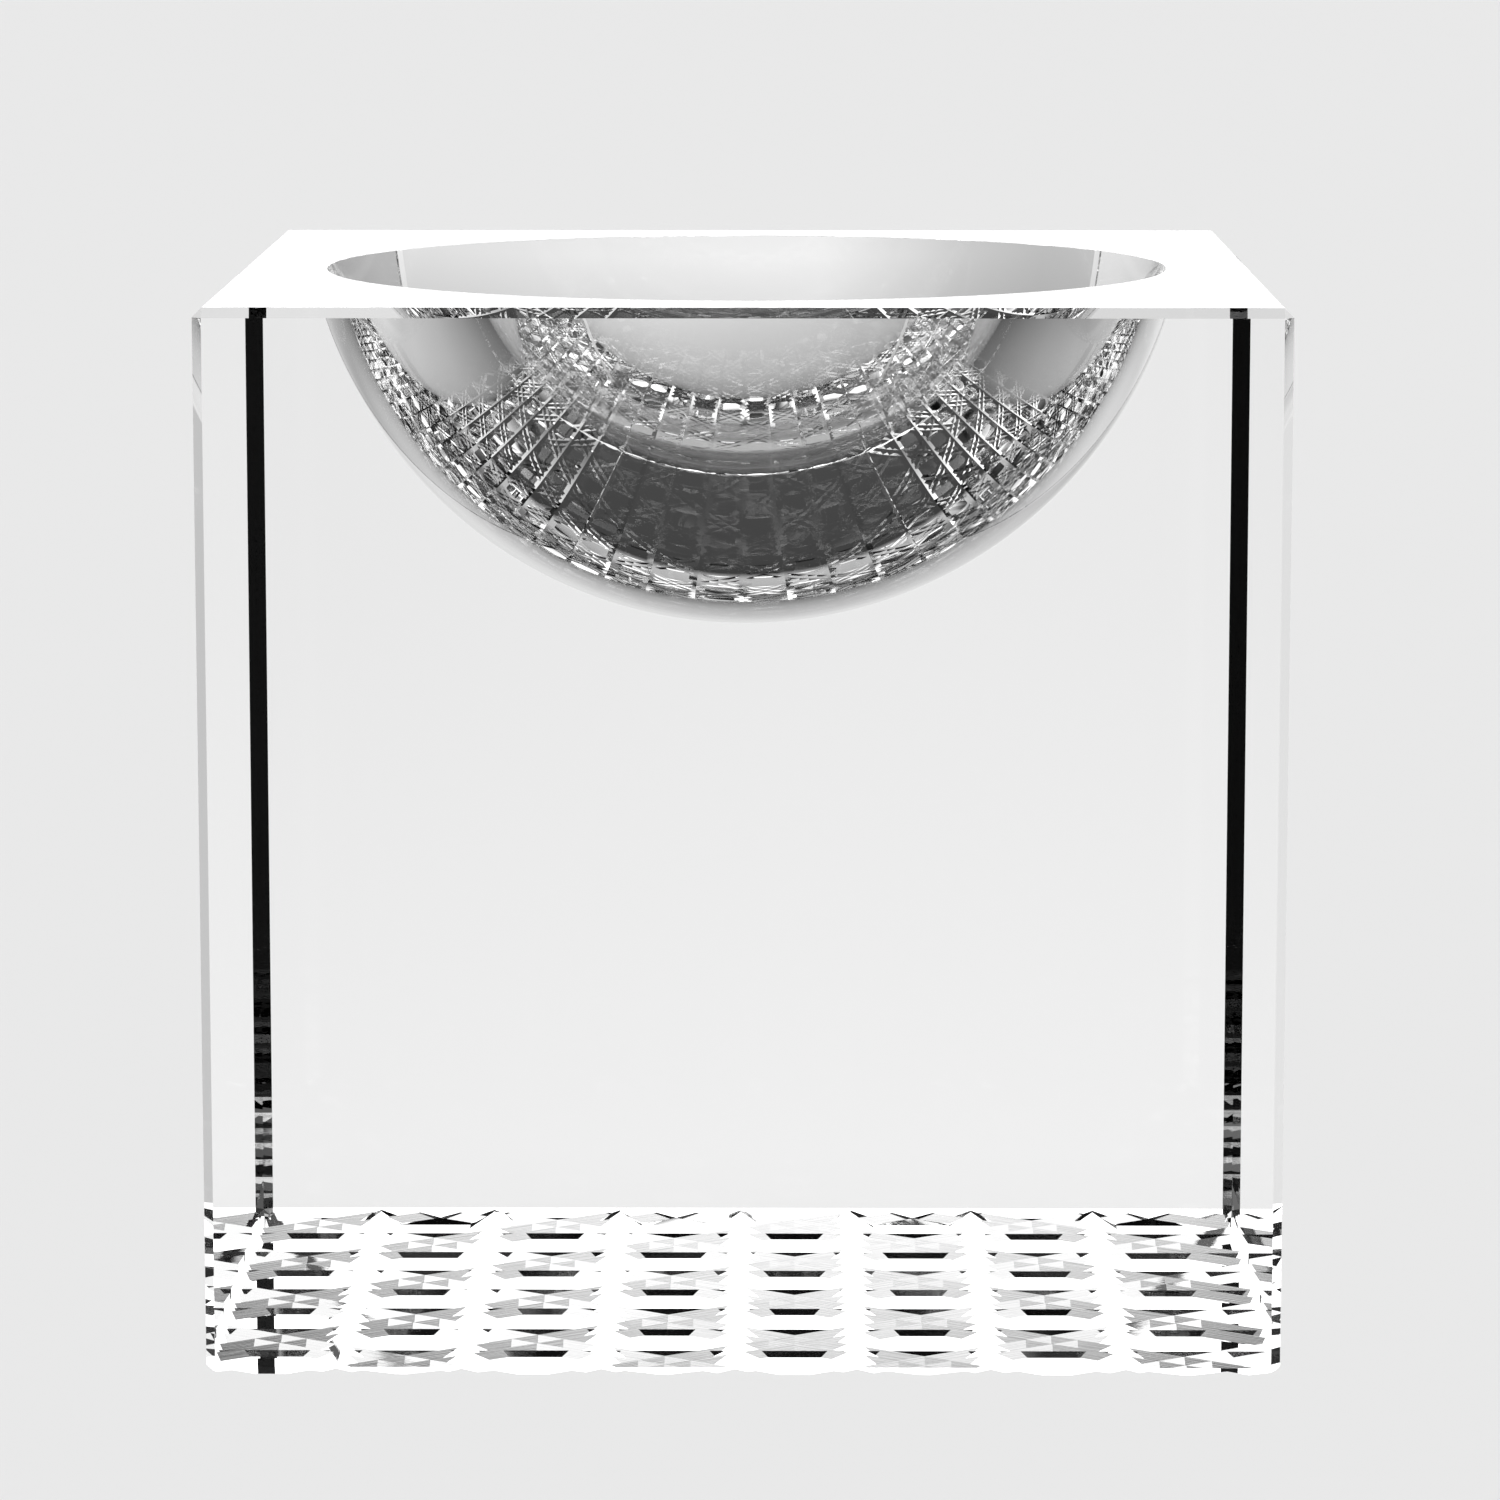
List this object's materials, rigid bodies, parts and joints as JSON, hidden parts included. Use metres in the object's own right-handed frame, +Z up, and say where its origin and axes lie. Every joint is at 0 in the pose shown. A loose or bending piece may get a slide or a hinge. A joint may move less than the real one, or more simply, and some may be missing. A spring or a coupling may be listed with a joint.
{
  "type": "cut crystal bowl block",
  "caption": "Square block of clear crystal with a round bowl sunk in its top and a basket-weave pattern cut across its underside, for a short-stemmed flower arrangement.",
  "frame": {"origin": "middle of the underside, in the plane of the flats that it stands on", "axes": "+Z up, out of the bowl; +X to the right and +Y to the back, square with the block's sides and with its lengthwise and crosswise grooves"},
  "size_m": [0.08, 0.08, 0.0796],
  "materials": {
    "crystal": "polished, with wheel-cut grooves below"
  },
  "bodies": {
    "root": {"crystal_block": "crystal"}
  },
  "joints": []
}
